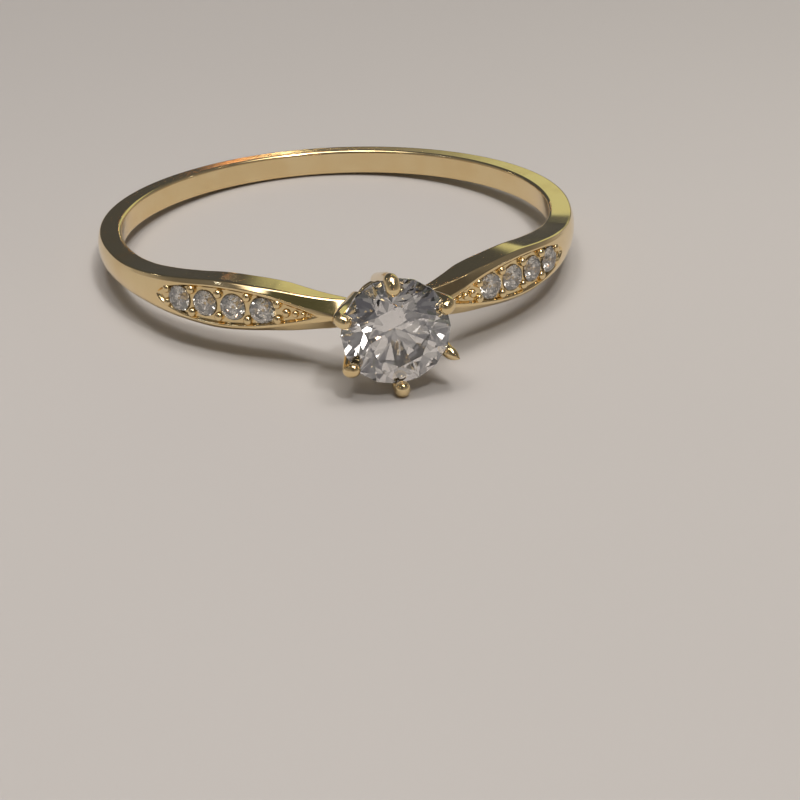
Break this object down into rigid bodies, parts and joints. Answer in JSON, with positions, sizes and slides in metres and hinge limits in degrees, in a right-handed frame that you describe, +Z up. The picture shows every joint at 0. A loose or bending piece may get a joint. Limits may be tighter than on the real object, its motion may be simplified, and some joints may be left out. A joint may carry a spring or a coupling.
{
  "type": "engagement ring",
  "caption": "Solitaire finger ring: a claw-set round stone over a slim polished band whose shoulders widen into leaf-shaped, stone-set fields; lying on its side",
  "frame": {"origin": "centre of the bounding box's base; z = 0 is the surface that the ring lies on", "axes": "+Z up, the head points towards -Y, +X to the right as seen from the head; the finger axis leans 5.22 degrees from +Z"},
  "size_m": [0.019, 0.0226, 0.0049],
  "materials": {
    "polished_gold": "polished yellow gold with fine wear marks",
    "diamond": "colourless faceted diamond"
  },
  "bodies": {
    "root": {"shank": "polished_gold", "left_shoulder": "polished_gold", "right_shoulder": "polished_gold", "head_base_ring": "polished_gold", "gallery_rail": "polished_gold", "claw_1": "polished_gold", "claw_2": "polished_gold", "claw_3": "polished_gold", "claw_4": "polished_gold", "claw_5": "polished_gold", "claw_6": "polished_gold", "centre_stone": "diamond", "left_melee_1": "diamond", "left_melee_2": "diamond", "left_melee_3": "diamond", "left_melee_4": "diamond", "right_melee_1": "diamond", "right_melee_2": "diamond", "right_melee_3": "diamond", "right_melee_4": "diamond"}
  },
  "joints": []
}
